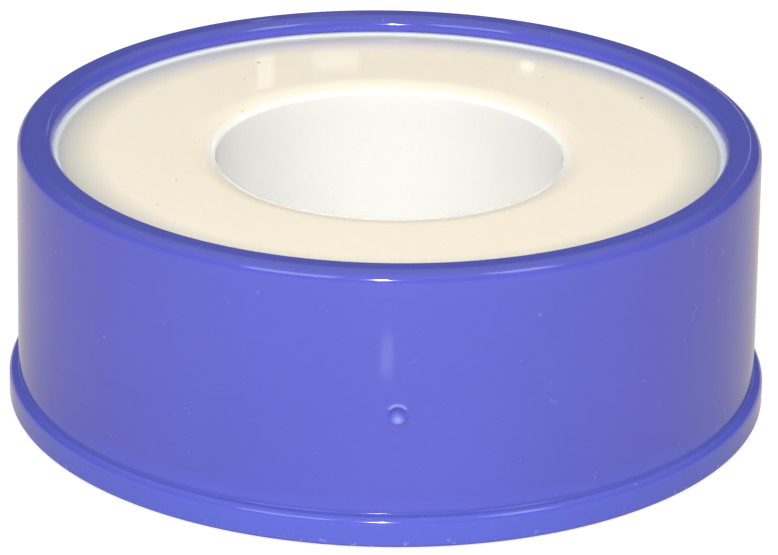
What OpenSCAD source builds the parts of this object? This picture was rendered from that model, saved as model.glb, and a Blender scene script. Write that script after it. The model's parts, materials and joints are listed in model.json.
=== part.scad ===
// Roll of thread seal tape: a two-piece white spool wound with film, inside a
// blue snap-over shell that stands on its own lip. Millimetres, +Z up.
// The origin is on the roll's axis, in the plane that the roll stands on.

/* [Tape] */
// Width of the film, the common half inch
tape_width = 12.7; // [9:0.1:25.4]
// Thickness of the film
tape_thickness = 0.075; // [0.05:0.005:0.2]
// Length of film wound on the spool, in metres
tape_length_m = 12; // [5:0.5:20]
// Free room between the film and each flange
tape_side_gap = 0.84; // [0.3:0.02:2]
// Length of the film's loose outer end
tail_length = 40; // [20:1:60]
// How far the tip of the loose end springs away from the winding
tail_spring = 0.9; // [0.5:0.05:1.2]

/* [Spool] */
// Diameter of the hole through the spool
bore_diameter = 23.5; // [18:0.1:30]
// Radius of the soft slope that runs down into the hole
mouth_slope_round = 4.5; // [2:0.1:8]
// Depth of the hole's upper edge below the flange
mouth_depth = 0.45; // [0.2:0.05:0.8]
// Rounding of that edge
mouth_edge_round = 0.15; // [0.05:0.05:0.3]
// Rounding of the hole's lower edge
bore_foot_round = 0.4; // [0.2:0.05:0.8]
// Wall of the inner sleeve, which forms the hole
inner_sleeve_wall = 1.1; // [0.8:0.05:2]
// Wall of the outer sleeve, pressed over the inner one
outer_sleeve_wall = 1.1; // [0.8:0.05:2]
// Thickness of both flanges
flange_thickness = 1.5; // [1:0.05:2.5]
// How far the upper flange stands out past the winding
flange_margin = 1.56; // [1.45:0.01:4]
// Rounding of the flanges' outer edges
flange_edge_round = 0.3; // [0.1:0.05:0.45]
// Height of the ring that stands up on the upper flange, under the rim
upstand_height = 0.2; // [0.1:0.02:0.6]
// How far that ring shows inside the rim
upstand_show = 0.25; // [0.1:0.05:0.6]

/* [Shell] */
// Thickness of the shell's wall
shell_wall = 1.2; // [0.9:0.05:2]
// How much the wall's radius grows from the rim to the base
shell_draft = 0.16; // [0:0.02:0.5]
// Depth of the upper flange below the rim's top
rim_depth = 1.27; // [1.1:0.01:3]
// How far the rim turns in over the upper flange
rim_overlap = 0.85; // [0.4:0.05:1.2]
// Rounding of the rim's outer edge
rim_outer_round = 0.85; // [0.3:0.05:1]
// Rounding of the rim's inner edge
rim_inner_round = 0.8; // [0.3:0.05:1]
// How far the lip stands out from the wall's foot
lip_reach = 0.6; // [0.3:0.05:1.5]
// Height of the lip
lip_height = 2.05; // [1:0.05:4]
// Rounding of the lip's upper edge
lip_edge_round = 0.42; // [0.1:0.02:0.6]
// Hollow rounding between the wall and the lip
lip_root_round = 0.3; // [0.1:0.02:0.6]
// Rounding of the lip's lower edge
base_edge_round = 0.22; // [0.1:0.02:0.5]
// Diameter of the moulding gate's mark on the wall, a dish inside a raised ring
gate_diameter = 1.2; // [0.8:0.1:2]
// Depth of the dish
gate_depth = 0.2; // [0.1:0.02:0.3]
// Height of the ring's crest above the wall
gate_ring_height = 0.06; // [0.02:0.01:0.1]
// Rounding of the ring's crest
gate_ring_round = 0.12; // [0.1:0.01:0.2]
// Height of the mark's centre above the base
gate_height = 9.25; // [6:0.25:12]

/* [Fits] */
// Radial room between the two sleeves, which are pressed together
sleeve_fit = 0.02; // [0.01:0.01:0.05]
// Radial room between the winding and the sleeve it is wound on
winding_fit = 0.02; // [0.01:0.01:0.1]
// Radial room of the upper flange in the shell
flange_clearance = 0.35; // [0.2:0.05:0.6]
// Radial room of the lower flange in the shell, the fit that holds the shell on
shell_fit = 0.1; // [0.05:0.01:0.2]
// Room between the upper flange's ring and the rim above it
rim_gap = 0.05; // [0.02:0.01:0.2]
// Room between the end of the outer sleeve and the upper flange
sleeve_end_gap = 0.1; // [0.05:0.05:0.3]
// Room between the loose end's root and the winding
tail_gap = 0.15; // [0.1:0.01:0.3]

/* [Hidden] */
$fn = 96;
// Overlap that keeps a cut clear of the face it starts from
CUT = 1;

// Radii of the spool and its film, from the hole outwards
bore_r = bore_diameter / 2;
inner_sleeve_r = bore_r + inner_sleeve_wall;
outer_sleeve_bore_r = inner_sleeve_r + sleeve_fit;
outer_sleeve_r = outer_sleeve_bore_r + outer_sleeve_wall;
winding_bore_r = outer_sleeve_r + winding_fit;
// The wound film's end area is its length times its thickness
winding_r = sqrt(winding_bore_r ^ 2 + tape_length_m * 1000 * tape_thickness / PI);
flange_r = winding_r + flange_margin;

// Heights of the spool, from the base upwards
chamber_height = tape_width + 2 * tape_side_gap;
chamber_top = flange_thickness + chamber_height;
flange_top = chamber_top + flange_thickness;
upstand_top = flange_top + upstand_height;

// The shell, from the upper flange outwards
shell_height = flange_top + rim_depth;
rim_under = upstand_top + rim_gap;
rim_r = flange_r - rim_overlap;
upstand_r = rim_r - upstand_show;
shell_bore_r = flange_r + flange_clearance;
shell_top_r = shell_bore_r + shell_wall;
draft_slope = shell_draft / shell_height;
lip_r = wall_r(0) + lip_reach;
lower_flange_r = shell_bore_r_at(flange_thickness) - shell_fit;

// Outer and inner radius of the drafted wall at a height
function wall_r(z) = shell_top_r + draft_slope * (shell_height - z);
function shell_bore_r_at(z) = wall_r(z) - shell_wall;

// Rectangle between two corners of a section, in radius and height
module block(low, high) {
    translate(low)
        square([high.x - low.x, high.y - low.y]);
}

// What a rounding takes off a section's corner; way points from the corner into the section
module corner_waste(corner, radius, way) {
    difference() {
        translate([corner.x - (way.x > 0 ? CUT : radius), corner.y - (way.y > 0 ? CUT : radius)])
            square(radius + CUT);
        translate([corner.x + way.x * radius, corner.y + way.y * radius])
            circle(radius);
    }
}

// What the soft slope and its rounded edge take off the hole's upper mouth
module mouth_waste() {
    run = sqrt(2 * mouth_slope_round * mouth_depth - mouth_depth ^ 2);
    slope_centre = [bore_r + run, flange_top - mouth_slope_round];
    drop = mouth_slope_round - mouth_edge_round;
    edge_r = bore_r + mouth_edge_round;
    edge_centre = [edge_r, slope_centre.y + sqrt(drop ^ 2 - (slope_centre.x - edge_r) ^ 2)];
    reach = 2 * mouth_edge_round;
    difference() {
        block([bore_r - CUT, flange_top - 2 * mouth_depth], [slope_centre.x, flange_top + CUT]);
        translate(slope_centre)
            circle(mouth_slope_round);
    }
    difference() {
        polygon([
            edge_centre,
            edge_centre + reach * [-1, 0],
            edge_centre + reach * [-1, 1],
            edge_centre + reach * (edge_centre - slope_centre) / drop
        ]);
        translate(edge_centre)
            circle(mouth_edge_round);
    }
}

// Upper half: the flange that shows inside the rim, and the sleeve that forms the whole hole
module upper_spool_half() {
    color("ivory")
        rotate_extrude()
            difference() {
                union() {
                    block([bore_r, 0], [inner_sleeve_r, flange_top]);
                    block([bore_r, chamber_top], [flange_r, flange_top]);
                    block([upstand_r, chamber_top], [flange_r, upstand_top]);
                }
                mouth_waste();
                corner_waste([bore_r, 0], bore_foot_round, [1, 1]);
                corner_waste([flange_r, chamber_top], flange_edge_round, [-1, 1]);
            }
}

// Lower half: the flange that the shell is held on, and the sleeve pressed over the inner one
module lower_spool_half() {
    color("linen")
        rotate_extrude()
            difference() {
                union() {
                    block([outer_sleeve_bore_r, 0], [lower_flange_r, flange_thickness]);
                    block([outer_sleeve_bore_r, 0], [outer_sleeve_r, chamber_top - sleeve_end_gap]);
                }
                corner_waste([lower_flange_r, 0], flange_edge_round, [-1, 1]);
                corner_waste([lower_flange_r, flange_thickness], flange_edge_round, [-1, -1]);
            }
}

// The wound film, as the one ring that its turns fill
module tape_winding() {
    color("white")
        rotate_extrude()
            block(
                [winding_bore_r, flange_thickness + tape_side_gap],
                [winding_r, chamber_top - tape_side_gap]
            );
}

// Loose outer end of the film, springing away from the winding towards its tip
module tape_tail() {
    root_r = winding_r + tail_gap;
    sweep = tail_length / root_r * 180 / PI;
    steps = ceil(sweep / 4);
    function spiral_r(i) = root_r + (tail_spring - tail_gap) * (i / steps) ^ 2;
    function spiral_point(i, depth) =
        (spiral_r(i) + depth) * [sin(sweep * i / steps), -cos(sweep * i / steps)];
    color("snow")
        translate([0, 0, flange_thickness + tape_side_gap])
            linear_extrude(tape_width)
                polygon(concat(
                    [for (i = [0:steps]) spiral_point(i, 0)],
                    [for (i = [steps:-1:0]) spiral_point(i, tape_thickness)]
                ));
}

// Section of the wall and its rim, with the rim's two rounded edges
module wall_section() {
    slant = sqrt(1 + draft_slope ^ 2);
    outer_centre = [
        wall_r(shell_height - rim_outer_round) - rim_outer_round * slant,
        shell_height - rim_outer_round
    ];
    outer_touch = outer_centre + rim_outer_round / slant * [1, draft_slope];
    inner_centre = [rim_r + rim_inner_round, shell_height - rim_inner_round];
    polygon([
        [inner_centre.x, 0],
        [wall_r(0), 0],
        outer_touch,
        [outer_centre.x, shell_height],
        [inner_centre.x, shell_height]
    ]);
    block([rim_r, 0], inner_centre);
    translate(outer_centre)
        circle(rim_outer_round);
    translate(inner_centre)
        circle(rim_inner_round);
}

// Section of the lip, with the hollow rounding that runs up into the wall
module lip_section() {
    edge_centre = [lip_r - lip_edge_round, lip_height - lip_edge_round];
    foot_r = wall_r(lip_height);
    reach = lip_edge_round + lip_root_round;
    across = max(0, foot_r + lip_root_round - edge_centre.x);
    root_centre = [foot_r + lip_root_round, edge_centre.y + sqrt(reach ^ 2 - across ^ 2)];
    root_touch = root_centre - lip_root_round / reach * [across, root_centre.y - edge_centre.y];
    difference() {
        union() {
            block([shell_bore_r_at(0), 0], [lip_r, edge_centre.y]);
            block([shell_bore_r_at(0), 0], [edge_centre.x, lip_height]);
            translate(edge_centre)
                circle(lip_edge_round);
        }
        corner_waste([lip_r, 0], base_edge_round, [-1, 1]);
    }
    difference() {
        polygon([
            [shell_bore_r_at(0), edge_centre.y],
            [root_touch.x, edge_centre.y],
            root_touch,
            root_centre,
            [foot_r, root_centre.y],
            [shell_bore_r_at(0), root_centre.y]
        ]);
        translate(root_centre)
            circle(lip_root_round);
    }
}

// The shell: a drafted wall with a rim turned in over the spool and a lip to pull it off by
module outer_shell() {
    gate_r = wall_r(gate_height);
    // A ball this large cuts a dish of the gate mark's diameter and depth
    gate_ball_r = (gate_diameter ^ 2 / 4 + gate_depth ^ 2) / (2 * gate_depth);
    color("slateblue") {
        difference() {
            rotate_extrude()
                difference() {
                    union() {
                        wall_section();
                        lip_section();
                    }
                    polygon([
                        [0, -CUT],
                        [shell_bore_r_at(-CUT), -CUT],
                        [shell_bore_r_at(rim_under), rim_under],
                        [0, rim_under]
                    ]);
                }
            translate([0, gate_depth - gate_r - gate_ball_r, gate_height])
                sphere(gate_ball_r);
        }
        translate([0, -gate_r, gate_height])
            rotate([90, 0, 0])
                rotate_extrude()
                    translate([gate_diameter / 2, gate_ring_height - gate_ring_round])
                        circle(gate_ring_round);
    }
}

upper_spool_half();
lower_spool_half();
tape_winding();
tape_tail();
outer_shell();
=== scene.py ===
import json
import math

import bmesh
import bpy
from mathutils import Matrix, Vector, noise


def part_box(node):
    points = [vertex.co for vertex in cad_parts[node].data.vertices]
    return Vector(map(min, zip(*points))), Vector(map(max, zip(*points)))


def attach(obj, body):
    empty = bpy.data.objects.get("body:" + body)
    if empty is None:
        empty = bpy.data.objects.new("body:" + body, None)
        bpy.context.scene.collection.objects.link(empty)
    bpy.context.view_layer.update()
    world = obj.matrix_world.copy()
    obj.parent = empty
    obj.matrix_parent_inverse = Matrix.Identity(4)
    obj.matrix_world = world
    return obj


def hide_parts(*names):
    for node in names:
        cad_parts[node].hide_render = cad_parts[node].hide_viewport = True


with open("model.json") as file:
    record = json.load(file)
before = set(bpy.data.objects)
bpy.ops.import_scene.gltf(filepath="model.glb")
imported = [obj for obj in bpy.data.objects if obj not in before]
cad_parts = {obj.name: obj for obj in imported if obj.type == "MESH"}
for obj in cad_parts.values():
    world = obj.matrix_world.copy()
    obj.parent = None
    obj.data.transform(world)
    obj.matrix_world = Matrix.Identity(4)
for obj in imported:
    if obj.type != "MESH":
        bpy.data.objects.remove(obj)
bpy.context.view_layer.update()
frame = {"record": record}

# Lower spool half: a thin flange and a sleeve, injection moulded in milky white
# polypropylene. The film is wound against it and the shell's foot is held on it.
bore_r = frame["record"]["mounts"][0]["dims"]["r_mm"] / 1000
lower_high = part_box("lower_spool_half")[1]
upper_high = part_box("upper_spool_half")[1]
film_low, film_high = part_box("tape_winding")
flange_thick = 0.0015
flange_edge = 0.0003
burr = 0.0001
sleeve_wall = 0.0011
press_gap = 0.00002
upstand_high = 0.0002
flange_top = upper_high.z - upstand_high


def put(tree, kind, settings=None, **inputs):
    """A new node; settings are its own options, inputs are values or sockets for its sockets."""
    made = tree.nodes.new(kind)
    for name, value in (settings or {}).items():
        setattr(made, name, value)
    for name, value in inputs.items():
        socket = made.inputs[int(name[1:]) if name[1:].isdigit() else name.replace("_", " ")]
        if isinstance(value, bpy.types.NodeSocket):
            tree.links.new(value, socket)
        else:
            socket.default_value = value
    return made


def math_node(tree, operation, *values):
    """The output of one Math node."""
    inputs = {f"i{i}": value for i, value in enumerate(values)}
    return put(tree, "ShaderNodeMath", {"operation": operation}, **inputs).outputs[0]


def both(tree, first, *others):
    """A mask that is 1 only where all of the given masks are."""
    for other in others:
        first = math_node(tree, "MULTIPLY", first, other)
    return first


def raised(tree, mask, by, onto):
    """The value onto, raised by an amount where the mask is 1."""
    return math_node(tree, "MULTIPLY_ADD", mask, by, onto)


def mask_between(tree, value, low, high):
    """0 below low and 1 above high, or the other way round where low is the larger."""
    ends = (low, high, 0, 1) if low < high else (high, low, 1, 0)
    names = ("From_Min", "From_Max", "To_Min", "To_Max")
    ramp = put(tree, "ShaderNodeMapRange", {"clamp": True}, Value=value, **dict(zip(names, ends)))
    return ramp.outputs["Result"]


def tinted(tree, mask, plain, marked):
    """The plain colour where the mask is 0 and the marked one where it is 1."""
    mix = put(tree, "ShaderNodeMix", {"data_type": "RGBA"}, i0=mask, i6=plain, i7=marked)
    return mix.outputs[2]


def stained(tree, plain, mask, stain, strength):
    """The plain colour with a stain of some strength where the mask is 1."""
    return tinted(tree, math_node(tree, "MULTIPLY", mask, strength), plain, stain)


def noise_of(tree, place, **values):
    """The value of a Noise Texture at a place."""
    return put(tree, "ShaderNodeTexNoise", Vector=place, **values).outputs[0]


def new_group(name, values):
    """An empty node group with float inputs, the output Mask, and Object coordinates inside."""
    group = bpy.data.node_groups.new(name, "ShaderNodeTree")
    for label, value in values.items():
        socket = group.interface.new_socket(label, in_out="INPUT", socket_type="NodeSocketFloat")
        socket.default_value = value
    group.interface.new_socket("Mask", in_out="OUTPUT", socket_type="NodeSocketFloat")
    entry, leave = group.nodes.new("NodeGroupInput"), group.nodes.new("NodeGroupOutput")
    place = group.nodes.new("ShaderNodeTexCoord").outputs["Object"]
    return group, entry.outputs, leave.inputs, place


# Specks of dust: small round spots scattered at random, each a different size.
specks, given, result, place = new_group("dust specks", {"Scale": 600, "Size": 0.12, "Share": 0.2})
cells = put(specks, "ShaderNodeTexVoronoi", {"feature": "F1"}, Vector=place, Scale=given["Scale"])
pick = put(specks, "ShaderNodeSeparateColor", Color=cells.outputs["Color"]).outputs
size = math_node(specks, "MULTIPLY", given["Size"], pick["Green"])
spot = math_node(specks, "LESS_THAN", cells.outputs["Distance"], size)
chosen = math_node(specks, "LESS_THAN", pick["Red"], given["Share"])
specks.links.new(both(specks, spot, chosen), result["Mask"])

# Hairline scratches: thin level lines of a smooth noise, broken into short strokes.
noise_middle = 0.5
strokes_per_line = 2.7
hairs, given, result, place = new_group("hairline scratches", {"Scale": 160, "Width": 0.004, "Share": 0.3})
field = noise_of(hairs, place, Scale=given["Scale"], Detail=0.0)
away = math_node(hairs, "ABSOLUTE", math_node(hairs, "SUBTRACT", field, noise_middle))
line = math_node(hairs, "LESS_THAN", away, given["Width"])
breaks = noise_of(hairs, place, Scale=math_node(hairs, "MULTIPLY", given["Scale"], strokes_per_line))
kept = math_node(hairs, "LESS_THAN", breaks, given["Share"])
hairs.links.new(both(hairs, line, kept), result["Mask"])


def new_material(name, **inputs):
    """A material with one Principled shader, its tree, that shader and the Object coordinates."""
    made = bpy.data.materials.new(name)
    made.use_nodes = True
    tree = made.node_tree
    tree.nodes.clear()
    shader = put(tree, "ShaderNodeBsdfPrincipled", **inputs)
    put(tree, "ShaderNodeOutputMaterial", Surface=shader.outputs[0])
    place = tree.nodes.new("ShaderNodeTexCoord").outputs["Object"]
    return made, tree, shader, place


def marks(tree, group, **values):
    """The mask that a shared group gives with these values."""
    return put(tree, "ShaderNodeGroup", {"node_tree": group}, **values).outputs["Mask"]


def radius_of(tree, place):
    """How far a place lies from the roll's axis."""
    axes = put(tree, "ShaderNodeSeparateXYZ", Vector=place).outputs
    level = put(tree, "ShaderNodeCombineXYZ", X=axes["X"], Y=axes["Y"]).outputs[0]
    return put(tree, "ShaderNodeVectorMath", {"operation": "LENGTH"}, i0=level).outputs["Value"]


# The plastic is whitest at the hole. Past the film it is painted grey, a painted shade for the rim's
# shadow and the dark gap below the thin flange, and the upstand's top is painted a pale blue-white, a
# painted light from the blue rim.
milk_cream = (0.92, 0.85, 0.71, 1)
milk_cloud = (0.895, 0.815, 0.665, 1)
milk_painted_shade = (0.51, 0.52, 0.495, 1)
milk_edge = (0.80, 0.79, 0.76, 1)
upstand_painted_light = (0.81, 0.855, 0.90, 1)
sleeve_white = (0.95, 0.942, 0.915, 1)
dirt_brown = (0.22, 0.17, 0.12, 1)
hole_zone = (bore_r - 0.00005, bore_r + 0.00075)
painted_shade_zone = (film_high.x - 0.00256, film_high.x + 0.00054)
edge_zone = (upper_high.x - 0.00072, upper_high.x - 0.00012)
upstand_zone = (flange_top, flange_top + 0.00013)
spool_plastic, tree, shader, place = new_material(
    "milky spool plastic",
    Subsurface_Weight=0.3,
    Subsurface_Scale=0.0015,
    Subsurface_Radius=(1, 0.8, 0.55),
    IOR=1.49,
)
out = radius_of(tree, place)
height = put(tree, "ShaderNodeSeparateXYZ", Vector=place).outputs["Z"]
milk = tinted(tree, noise_of(tree, place, Scale=140, Detail=3), milk_cream, milk_cloud)
# Painted shade past the film, with painted bluish light on the upstand's top.
edge = tinted(tree, mask_between(tree, height, *upstand_zone), milk_painted_shade, upstand_painted_light)
edge = tinted(tree, mask_between(tree, out, *edge_zone), edge, milk_edge)
milk = tinted(tree, mask_between(tree, out, *painted_shade_zone), milk, edge)
outside = mask_between(tree, out, *hole_zone)
milk = tinted(tree, outside, sleeve_white, milk)
dust = both(tree, outside, marks(tree, specks, Scale=900, Size=0.12, Share=0.16))
scuffs = both(tree, outside, marks(tree, hairs, Scale=210, Width=0.003, Share=0.37))
milk = stained(tree, milk, scuffs, dirt_brown, strength=0.2)
milk = stained(tree, milk, dust, dirt_brown, strength=0.6)
tree.links.new(milk, shader.inputs["Base Color"])
gloss = raised(tree, noise_of(tree, place, Scale=900, Detail=2), by=0.03, onto=0.04)
tree.links.new(raised(tree, scuffs, by=0.3, onto=gloss), shader.inputs["Roughness"])
ripple = noise_of(tree, place, Scale=260, Detail=1)
relief = put(tree, "ShaderNodeBump", Strength=0.015, Distance=0.0002, Height=ripple)
tree.links.new(relief.outputs[0], shader.inputs["Normal"])

sectors = 12
sector_steps = 30
arc_steps = 10
row_height = 0.001
merge_gap = 1e-6


def turned(corners):
    """A ring spun about +Z from its section's corners, each with a radius, a height and a rounding."""
    form = bmesh.new()
    loop = [form.verts.new((r, 0, z)) for r, z, rounding in corners]
    for i in range(len(loop)):
        form.edges.new((loop[i - 1], loop[i]))
    for i, (r, z, rounding) in enumerate(corners):
        into = Vector((r, z)) - Vector(corners[i - 1][:2])
        onward = Vector(corners[(i + 1) % len(corners)][:2]) - Vector((r, z))
        reach = rounding * math.tan(into.angle(onward) / 2)
        if rounding:
            bmesh.ops.bevel(
                form,
                geom=[loop[i]],
                offset=reach,
                affect="VERTICES",
                segments=arc_steps,
                profile=0.5,
                material=-1,
            )
    for edge in form.edges[:]:
        rows = round(edge.calc_length() / row_height)
        if rows > 1:
            bmesh.ops.subdivide_edges(form, edges=[edge], cuts=rows - 1)
    sector = 2 * math.pi / sectors
    about = {"cent": (0, 0, 0), "axis": (0, 0, 1)}
    bmesh.ops.spin(form, geom=form.verts[:] + form.edges[:], angle=sector, steps=sector_steps, **about)
    one = form.verts[:] + form.edges[:] + form.faces[:]
    rest = sectors - 1
    bmesh.ops.spin(form, geom=one, angle=sector * rest, steps=rest, use_duplicate=True, **about)
    bmesh.ops.remove_doubles(form, verts=form.verts, dist=merge_gap)
    return form


def finish_mesh(form, name, material, node, body):
    """Makes the object of a finished bmesh, which replaces a CAD node and rides on a body."""
    bmesh.ops.recalc_face_normals(form, faces=form.faces)
    mesh = bpy.data.meshes.new(name)
    form.to_mesh(mesh)
    form.free()
    for face in mesh.polygons:
        face.use_smooth = True
    piece = bpy.data.objects.new(name, mesh)
    bpy.context.scene.collection.objects.link(piece)
    piece.modifiers.new("even shading", "WEIGHTED_NORMAL")
    mesh.materials.append(material)
    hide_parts(node)
    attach(piece, body)


sleeve_in = bore_r + sleeve_wall + press_gap
sleeve_out = sleeve_in + sleeve_wall
form = turned(
    [
        (sleeve_in, 0, burr),
        (lower_high.x, 0, flange_edge),
        (lower_high.x, flange_thick, flange_edge),
        (sleeve_out, flange_thick, burr),
        (sleeve_out, lower_high.z, burr),
        (sleeve_in, lower_high.z, burr),
    ]
)
finish_mesh(form, "spool_lower", spool_plastic, "lower_spool_half", "spool")

# Upper spool half: the flange that shows inside the rim, with the long sleeve that
# forms the hole. It is moulded in the same plastic and pressed into the lower half.
flange_under = flange_top - flange_thick
upstand_wide = 0.0011
upstand_in = upper_high.x - upstand_wide
upstand_foot = 0.0002
upstand_edge = 0.00006
mouth_deep = 0.00045
mouth_slope = math.radians(25.8)
mouth_wide = mouth_deep / math.tan(mouth_slope)
mouth_slope_round = 0.0045
mouth_edge_round = 0.00015
bore_foot_round = 0.0004
form = turned(
    [
        (bore_r, 0, bore_foot_round),
        (bore_r, flange_top - mouth_deep, mouth_edge_round),
        (bore_r + mouth_wide, flange_top, mouth_slope_round),
        (upstand_in - upstand_foot, flange_top, upstand_foot),
        (upstand_in, upper_high.z, upstand_edge),
        (upper_high.x, upper_high.z, burr),
        (upper_high.x, flange_under, flange_edge),
        (bore_r + sleeve_wall, flange_under, burr),
        (bore_r + sleeve_wall, 0, burr),
    ]
)
finish_mesh(form, "spool_upper", spool_plastic, "upper_spool_half", "spool")

# Tape winding: soft white film, wound dry in some hundred turns on the sleeve. Its outer
# turns swell a little here and there, and the tension leaves faint bands round the roll.
film_r = film_high.x
film_width = film_high.z - film_low.z
winding_gap = 0.00003
hub_r = sleeve_out + winding_gap
turn_pitch = 0.00016
film_white = (0.87, 0.87, 0.865, 1)
film_shade = (0.77, 0.77, 0.76, 1)
shade_range = (0.35, 0.7)
tape_film, tree, shader, place = new_material("white tape film", IOR=1.36)
axes = put(tree, "ShaderNodeSeparateXYZ", Vector=place).outputs
bands = put(tree, "ShaderNodeCombineXYZ", Z=axes["Z"]).outputs[0]
stripes = noise_of(tree, bands, Scale=1800, Detail=4)
turns = math_node(tree, "MULTIPLY", radius_of(tree, place), 2 * math.pi / turn_pitch)
banding = raised(tree, math_node(tree, "SINE", turns), by=0.12, onto=stripes)
film = tinted(tree, mask_between(tree, banding, *shade_range), film_shade, film_white)
tree.links.new(film, shader.inputs["Base Color"])
tree.links.new(raised(tree, stripes, by=0.2, onto=0.35), shader.inputs["Roughness"])
relief = put(tree, "ShaderNodeBump", Strength=0.35, Distance=0.0001, Height=banding)
tree.links.new(relief.outputs[0], shader.inputs["Normal"])

form = turned(
    [
        (hub_r, film_low.z, 0),
        (film_r, film_low.z, burr),
        (film_r, film_high.z, burr),
        (hub_r, film_high.z, 0),
    ]
)
swell_scale = Vector((90, 90, 700))
swell_share = 0.0016
swell_level = 0.6
skin = 0.0002
for corner in form.verts:
    if corner.co.xy.length > film_r - skin:
        swell = noise.noise(corner.co * swell_scale)
        corner.co.xy *= 1 - swell_share * (swell_level + swell)
finish_mesh(form, "wound_film", tape_film, "tape_winding", "spool")

# Tape tail: the film's loose outer end, torn off square. It starts flat on the winding
# and springs away from it towards its tip, held in only by the shell.
tail_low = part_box("tape_tail")[0]
tail_steps = 60
tail_rows = 12
tail_sweep = math.radians(105)
tail_gap = 0.00004
tail_spring = 0.00085
curl_deep = 0.00008
curl_along = 9
curl_across = 4
film_thick = 0.000075
half = 0.5
form = bmesh.new()
bmesh.ops.create_grid(form, x_segments=tail_steps, y_segments=tail_rows, size=half)
for corner in form.verts:
    along, up = corner.co.x + half, corner.co.y + half
    curl = curl_deep * math.sin(curl_along * along + curl_across * up) * along
    r = film_r + tail_gap + tail_spring * along ** 2 + curl
    turn = tail_sweep * along
    corner.co = (r * math.sin(turn), -r * math.cos(turn), tail_low.z + up * film_width)
bmesh.ops.recalc_face_normals(form, faces=form.faces)
bmesh.ops.solidify(form, geom=form.faces[:], thickness=film_thick)
finish_mesh(form, "loose_film_end", tape_film, "tape_tail", "loose_end")

# Outer shell: a thin ring moulded in glossy blue-violet polypropylene, with its rim turned
# in over the spool and a lip to pull it off by. It snaps over the spool from above.
shell_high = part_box("outer_shell")[1]
wall_thick = 0.0012
wall_draft = 0.00016
rim_overlap = 0.00085
rim_gap = 0.00005
rim_in = upper_high.x - rim_overlap
rim_under = upper_high.z + rim_gap
rim_inner_round = 0.0008
rim_outer_round = 0.00085
lip_reach = 0.0006
lip_root_z = 0.00208
lip_edge_z = 0.00199
lip_root_round = 0.00015
lip_edge_round = 0.00055
base_edge_round = 0.00022
gate_z = 0.00905


def wall_radius(z):
    """Outer radius of the drafted wall at a height."""
    return shell_high.x - lip_reach - wall_draft * z / shell_high.z


def distance_to(tree, place, spot):
    """How far a place lies from a fixed spot."""
    apart = put(tree, "ShaderNodeVectorMath", {"operation": "DISTANCE"}, i0=place, i1=spot)
    return apart.outputs["Value"]


# The blue is painted darker on the rim and in the crease above the lip, as painted shade, and painted
# paler on the lip's face, as painted light.
shell_blue = (0.115, 0.122, 0.645, 1)
shell_deep = (0.108, 0.116, 0.620, 1)
rim_painted_shade = (0.071, 0.081, 0.40, 1)
lip_painted_light = (0.112, 0.142, 0.72, 1)
flow_range = (0.35, 0.65)
lip_light_zone = (0.0035, 0.0014)
rim_shade_zone = (shell_high.z - 0.00065, shell_high.z - 0.00005)
crease_z = 0.0021
crease_below = 0.0005
crease_above = 0.0003
wall_middle = wall_radius(crease_z) - wall_thick / 2
outer_zone = (wall_middle - 0.0003, wall_middle)
shell_plastic, tree, shader, place = new_material("glossy blue plastic", IOR=1.49)
height = put(tree, "ShaderNodeSeparateXYZ", Vector=place).outputs["Z"]
flow = noise_of(tree, place, Scale=70, Detail=4)
blue = tinted(tree, mask_between(tree, flow, *flow_range), shell_deep, shell_blue)
# Painted light: the lip's face is paler.
blue = tinted(tree, mask_between(tree, height, *lip_light_zone), blue, lip_painted_light)
# Painted shade: darker in the crease above the lip and on the rim.
crease_painted_shade = both(
    tree,
    mask_between(tree, height, crease_z - crease_below, crease_z),
    mask_between(tree, height, crease_z + crease_above, crease_z),
    mask_between(tree, radius_of(tree, place), *outer_zone),
)
shaded = raised(tree, crease_painted_shade, by=0.7, onto=mask_between(tree, height, *rim_shade_zone))
blue = tinted(tree, shaded, blue, rim_painted_shade)

# Handling leaves fine scratches and nicks on the wall, and chips along the foot.
scratch_pale = (0.21, 0.22, 0.68, 1)
chip_white = (0.36, 0.39, 0.74, 1)
foot_zone = (0.0007, 0.0002)
chip_range = (0.61, 0.68)
scratches = marks(tree, hairs, Scale=240, Width=0.003, Share=0.36)
nicks = marks(tree, specks, Scale=900, Size=0.12, Share=0.15)
chips = mask_between(tree, noise_of(tree, place, Scale=1500, Detail=3), *chip_range)
worn = both(tree, mask_between(tree, height, *foot_zone), chips)
blue = stained(tree, blue, scratches, scratch_pale, strength=0.2)
blue = stained(tree, blue, nicks, scratch_pale, strength=0.6)
blue = stained(tree, blue, worn, chip_white, strength=0.6)

# Round the gate are painted highlights: pale in the lower half of its dish and over its top.
gate_highlight_pale = (0.27, 0.38, 0.86, 1)
highlight_drop = 0.00034
gate_spot = Vector((0, -wall_radius(gate_z), gate_z))
highlight_spot = gate_spot - Vector((0, 0, highlight_drop))
highlight_zone = (0.00048, 0.00014)
crest_inner = (0.00045, 0.00055)
crest_outer = (0.00078, 0.00068)
crest_zone = (gate_z + 0.0003, gate_z + 0.00045)
dull_zone = (0.00095, 0.0008)
from_gate = distance_to(tree, place, gate_spot)
gate_highlight = mask_between(tree, distance_to(tree, place, highlight_spot), *highlight_zone)
crest_highlight = both(
    tree,
    mask_between(tree, from_gate, *crest_inner),
    mask_between(tree, from_gate, *crest_outer),
    mask_between(tree, height, *crest_zone),
)
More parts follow.
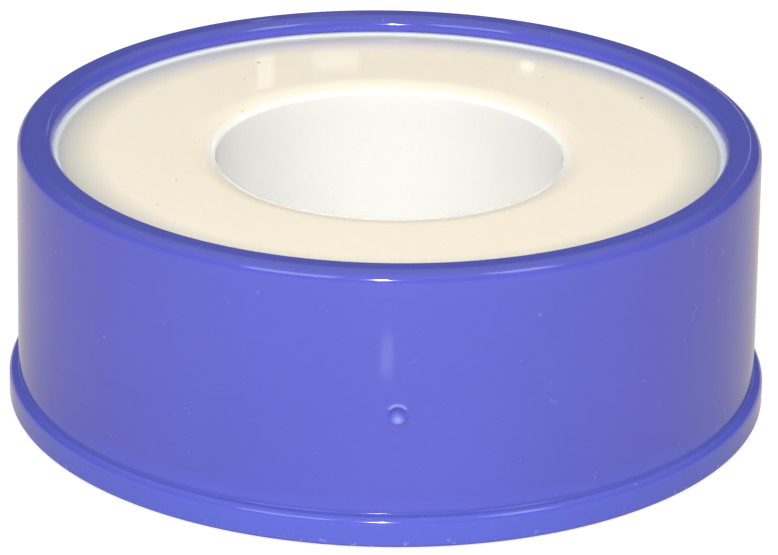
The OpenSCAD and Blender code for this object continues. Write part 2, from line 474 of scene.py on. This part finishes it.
# Painted highlights on the gate's dish and over the top of its ring.
blue = stained(tree, blue, gate_highlight, gate_highlight_pale, strength=0.5)
blue = stained(tree, blue, crest_highlight, gate_highlight_pale, strength=0.7)
tree.links.new(blue, shader.inputs["Base Color"])
gloss = raised(tree, noise_of(tree, place, Scale=500, Detail=3), by=0.05, onto=0.075)
gloss = raised(tree, scratches, by=0.25, onto=gloss)
gloss = raised(tree, mask_between(tree, from_gate, *dull_zone), by=0.25, onto=gloss)
tree.links.new(raised(tree, worn, by=0.35, onto=gloss), shader.inputs["Roughness"])
ripple = noise_of(tree, place, Scale=220, Detail=1)
relief = put(tree, "ShaderNodeBump", Strength=0.08, Distance=0.0002, Height=ripple)
tree.links.new(relief.outputs[0], shader.inputs["Normal"])

form = turned(
    [
        (wall_radius(0) - wall_thick, 0, burr),
        (wall_radius(rim_under) - wall_thick, rim_under, burr),
        (rim_in, rim_under, burr),
        (rim_in, shell_high.z, rim_inner_round),
        (wall_radius(shell_high.z), shell_high.z, rim_outer_round),
        (wall_radius(lip_root_z), lip_root_z, lip_root_round),
        (shell_high.x, lip_edge_z, lip_edge_round),
        (shell_high.x, 0, base_edge_round),
    ]
)

# The gate's mark is a small dish inside a raised ring, on a patch of the wall with finer faces.
patch_reach = 0.0017
patch_cuts = 15
mark_reach = 0.0024
ring_r = 0.0006
ring_wide = 0.00014
ring_high = 0.00006
dish_r = 0.00056
dish_deep = 0.0002
wall_middle = wall_radius(gate_z) - wall_thick / 2
patch_edges = set()
for face in form.faces:
    centre = face.calc_center_median()
    if (centre - gate_spot).length < patch_reach and centre.xy.length > wall_middle:
        patch_edges.update(face.edges)
bmesh.ops.subdivide_edges(form, edges=list(patch_edges), cuts=patch_cuts, use_grid_fill=True)
for corner in form.verts:
    apart = (corner.co - gate_spot).length
    if apart < mark_reach and corner.co.xy.length > wall_middle:
        ring = ring_high * math.exp(-(((apart - ring_r) / ring_wide) ** 2))
        dish = dish_deep * max(0, 1 - (apart / dish_r) ** 2)
        corner.co.xy = corner.co.xy.normalized() * (wall_radius(corner.co.z) + ring - dish)
finish_mesh(form, "glossy_shell", shell_plastic, "outer_shell", "shell")

# The floor: a wide sheet of paper just below the roll. The camera sees it as white, and
# the roll's gloss shows it dimmer and warmer.
floor_half = 3
floor_drop = 0.00005
paper_grey = (0.45, 0.42, 0.375, 1)
glow_white = (1, 1, 1, 1)
glow_warm = (1, 0.86, 0.62, 1)
glow_level = 0.68
form = bmesh.new()
bmesh.ops.create_grid(form, x_segments=1, y_segments=1, size=floor_half)
bmesh.ops.translate(form, verts=form.verts, vec=(0, 0, -floor_drop))
mesh = bpy.data.meshes.new("paper_floor")
form.to_mesh(mesh)
form.free()
floor = bpy.data.objects.new("paper_floor", mesh)
bpy.context.scene.collection.objects.link(floor)
paper, tree, shader, place = new_material("white paper", Base_Color=paper_grey, Roughness=0.8)
rays = tree.nodes.new("ShaderNodeLightPath").outputs
seen = math_node(tree, "MAXIMUM", rays["Is Camera Ray"], rays["Is Transmission Ray"])
seen = raised(tree, rays["Is Glossy Ray"], by=0.45, onto=seen)
glow = tinted(tree, rays["Is Glossy Ray"], glow_white, glow_warm)
tree.links.new(glow, shader.inputs["Emission Color"])
tree.links.new(math_node(tree, "MULTIPLY", seen, glow_level), shader.inputs["Emission Strength"])
mesh.materials.append(paper)

# The light: a dim room with a pale ceiling, two soft boxes in front, two behind and a small
# lamp by the camera. Smaller ones show as reflections on the flange, the rim and the wall.
view_turn = math.radians(-1.8)
camera_spot = Vector((0.000108, -0.290, 0.129285))
room_dim = (0.14, 0.13, 0.12, 1)
ceiling_pale = (0.93, 0.93, 0.93, 1)
ceiling_zone = (0.45, 0.85)
world = bpy.data.worlds.new("pale room")
bpy.context.scene.world = world
world.use_nodes = True
tree = world.node_tree
tree.nodes.clear()
toward = tree.nodes.new("ShaderNodeTexCoord").outputs["Generated"]
way = put(tree, "ShaderNodeSeparateXYZ", Vector=toward).outputs
paint = tinted(tree, mask_between(tree, way["Z"], *ceiling_zone), room_dim, ceiling_pale)
room = put(tree, "ShaderNodeBackground", Color=paint, Strength=1.0)
white = put(tree, "ShaderNodeBackground", Color=(1, 1, 1, 1), Strength=1.0)
rays = tree.nodes.new("ShaderNodeLightPath").outputs
sky = put(tree, "ShaderNodeMixShader", i0=rays["Is Camera Ray"], i1=room.outputs[0], i2=white.outputs[0])
put(tree, "ShaderNodeOutputWorld", Surface=sky.outputs[0])


def lamp(name, spot, size, watts, target=(0, 0, 0.01), in_gloss=True):
    """A rectangular lamp at a spot, facing the target, turned about the roll as the camera is."""
    light = bpy.data.lights.new(name, "AREA")
    light.shape = "RECTANGLE"
    light.size, light.size_y = size
    light.energy = watts
    holder = bpy.data.objects.new(name, light)
    facing = (Vector(target) - Vector(spot)).to_track_quat("-Z", "Y").to_matrix().to_4x4()
    holder.matrix_world = Matrix.Rotation(view_turn, 4, "Z") @ Matrix.Translation(spot) @ facing
    holder.visible_camera = False
    holder.visible_glossy = in_gloss
    bpy.context.scene.collection.objects.link(holder)


lamp("soft_box_left", spot=(-0.258, -0.434, 0.372), size=(0.27, 0.2), watts=0.66)
lamp("soft_box_right", spot=(0.312, -0.255, 0.474), size=(0.16, 0.2), watts=0.42)
lamp("back_box_left", spot=(-0.17, 0.47, 0.27), size=(0.16, 0.12), watts=0.45, in_gloss=False)
lamp("back_box_right", spot=(0.17, 0.47, 0.27), size=(0.16, 0.12), watts=0.45, in_gloss=False)
lamp("camera_lamp", spot=(-0.007, -0.29, 0.165), size=(0.011, 0.011), watts=0.56)


def glint(name, target, facing, distance, size, brightness):
    """A small dim lamp at the place that the camera sees mirrored in a surface at the target."""
    sight = (Vector(target) - camera_spot).normalized()
    spot = Vector(target) + distance * sight.reflect(Vector(facing).normalized())
    lamp(name, spot, size, math.pi * size[0] * size[1] * brightness, target)


# Each patch on the flange has its middle, its lamp's width and height, and its brightness.
flange_glints = {
    "bar_on_flange": ((-0.00879, 0.01345, flange_top), (0.0014, 0.0035), 0.65),
    "band_on_flange": ((-0.00394, 0.01707, flange_top), (0.0038, 0.0016), 0.55),
    "dot_on_flange": ((0.00967, 0.01669, flange_top), (0.0011, 0.0008), 1.5),
}
for name, (target, size, brightness) in flange_glints.items():
    glint(name, target, facing=(0, 0, 1), distance=0.06, size=size, brightness=brightness)
arc_spot = (0.0246, 0, 0.0186)
lamp("arc_on_rim", spot=(0.065, 0.28, 0.102), size=(0.006, 0.085), watts=0.00304, target=arc_spot)
streak_spot = Vector((0.00006, -0.0251, 0.01348))
streak_facing = (streak_spot.x, streak_spot.y, 0)
glint("streak_on_wall", streak_spot, streak_facing, distance=0.025, size=(0.0022, 0.003), brightness=1.6)

# The camera: at the photograph's height and distance, turned and rolled a little as it was.
camera_tilt = math.radians(90 - 22.711)
camera_roll = math.radians(0.946)
camera_data = bpy.data.cameras.new("camera")
camera_data.sensor_width = 36
camera_data.lens = 213.0
camera_data.clip_start = 0.01
camera = bpy.data.objects.new("camera", camera_data)
camera.matrix_world = (
    Matrix.Rotation(view_turn, 4, "Z")
    @ Matrix.Translation(camera_spot)
    @ Matrix.Rotation(camera_tilt, 4, "X")
    @ Matrix.Rotation(camera_roll, 4, "Z")
)
bpy.context.scene.collection.objects.link(camera)
bpy.context.scene.camera = camera
bpy.context.scene.view_settings.view_transform = "Standard"
